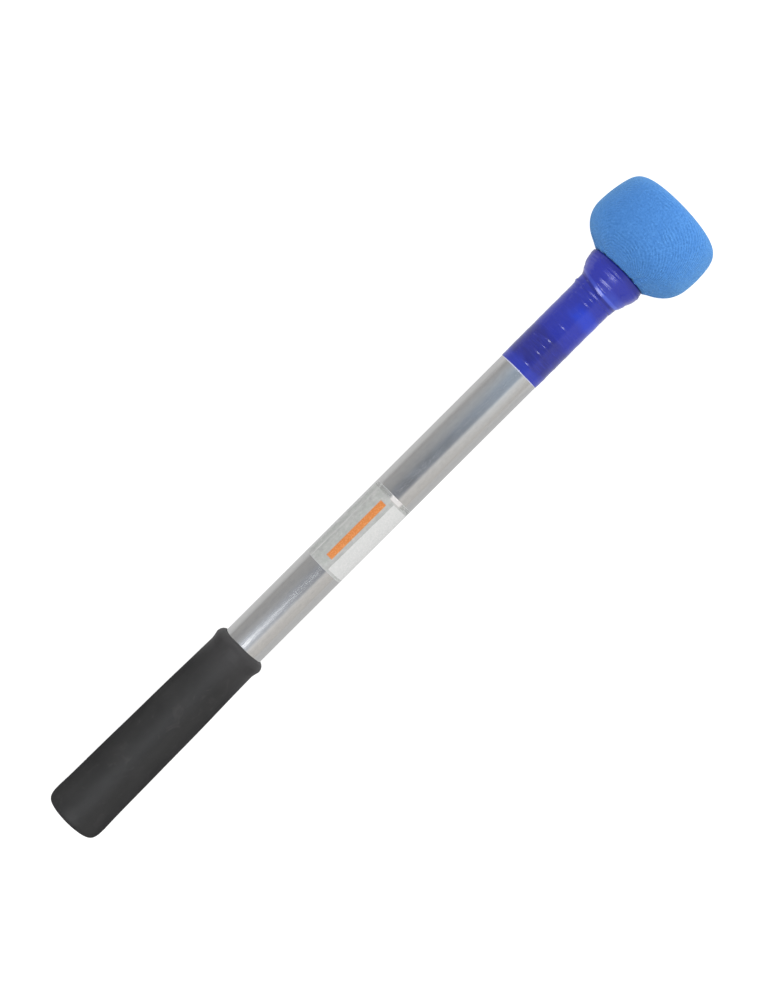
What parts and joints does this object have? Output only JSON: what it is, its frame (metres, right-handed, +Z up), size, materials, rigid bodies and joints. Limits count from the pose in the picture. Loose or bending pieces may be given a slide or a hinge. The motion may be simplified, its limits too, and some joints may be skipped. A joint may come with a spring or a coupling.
{
  "type": "surdo mallet",
  "caption": "Hand beater for a large drum: aluminium tube shaft, black rubber grip, tape-wrapped neck and a padded head in a blue knitted cover.",
  "frame": {"origin": "centre of the bounding box's base, on the surface that the mallet lies on", "axes": "+X along the shaft from the butt towards the head (the shaft itself rises 2.16 degrees, because the head is thicker than the grip); +Z up"},
  "size_m": [0.3542, 0.0508, 0.0508],
  "materials": {
    "aluminium": "satin drawn tube with fine scratches",
    "grip_rubber": "matte moulded",
    "label_film": "clear glossy film with a plain printed bar and strip",
    "pvc_tape": "glossy stretched PVC tape",
    "cover_knit": "fine stretch knit",
    "twine": "laid cotton twine",
    "hardwood": "turned, unfinished",
    "steel": "plain",
    "plated_steel": "zinc plated",
    "wool_felt": "dense pressed wool",
    "thin_foam": "open-cell sheet foam"
  },
  "bodies": {
    "root": {"shaft_tube": "aluminium", "handle_grip": "grip_rubber", "shaft_label": "label_film", "tape_start_turn": "pvc_tape", "neck_tape_wraps": "pvc_tape", "collar_tape": "pvc_tape", "head_cover": "cover_knit", "cover_lashing": "twine", "shaft_dowel": "hardwood", "dowel_pin": "steel", "head_core": "hardwood", "core_screw": "plated_steel", "core_washer": "steel", "felt_rear_ring": "wool_felt", "felt_winding_inner": "wool_felt", "felt_winding_outer": "wool_felt", "felt_front_pad": "wool_felt", "foam_jacket": "thin_foam"}
  },
  "joints": []
}
